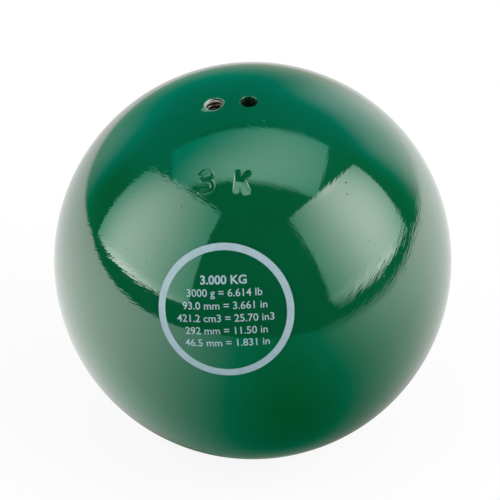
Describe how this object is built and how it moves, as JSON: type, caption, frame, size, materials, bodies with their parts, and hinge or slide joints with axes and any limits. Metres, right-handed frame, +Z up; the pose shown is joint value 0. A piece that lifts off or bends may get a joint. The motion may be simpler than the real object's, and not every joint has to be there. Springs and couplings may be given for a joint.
{
  "type": "shot put",
  "caption": "Painted iron throwing ball with a tapped hole, a plain hole, a stamped weight mark, a ring label and a set screw over a trim weight.",
  "frame": {"origin": "the ball's lowest point, where it rests on a floor or in a cup", "axes": "+Z up as the ball lies in the picture, -Y towards the stamped and labelled side, +X to that side's right"},
  "size_m": [0.093, 0.093, 0.093],
  "materials": {
    "green_enamel": "gloss",
    "label_print": "gloss",
    "lead": "matte",
    "black_oxide_steel": "satin"
  },
  "bodies": {
    "shot": {"shot_body": "green_enamel", "label_film": "label_print", "ballast_slug": "lead"},
    "set_screw": {"set_screw": "black_oxide_steel"}
  },
  "joints": [
    {"name": "set_screw_out", "type": "slide", "parent": "shot", "child": "set_screw", "axis": [-0.1893, 0.0845, 0.9783], "range_m": [0, 0.0134]}
  ]
}
